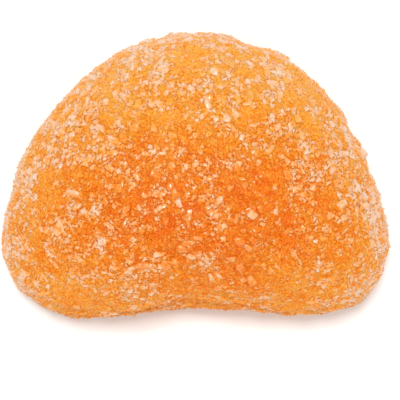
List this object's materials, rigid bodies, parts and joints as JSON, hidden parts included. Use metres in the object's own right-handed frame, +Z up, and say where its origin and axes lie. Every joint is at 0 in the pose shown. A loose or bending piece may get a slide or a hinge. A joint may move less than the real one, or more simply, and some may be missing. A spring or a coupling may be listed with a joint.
{
  "type": "gummy candy",
  "caption": "Half-moon gummy candy with an arched back and a shallow dip in its straight edge, coated all over in sugar crystals, lying on its flat moulded face.",
  "frame": {"origin": "middle of the footprint's box, on the table that the candy lies on", "axes": "+Z up out of the flat moulded face, +X along the straight edge, +Y towards the crown of the arch"},
  "size_m": [0.0198, 0.0146, 0.009],
  "materials": {
    "sugared_jelly": "clear orange jelly under a coat of sugar crystals"
  },
  "bodies": {
    "root": {"gummy_candy": "sugared_jelly"}
  },
  "joints": []
}
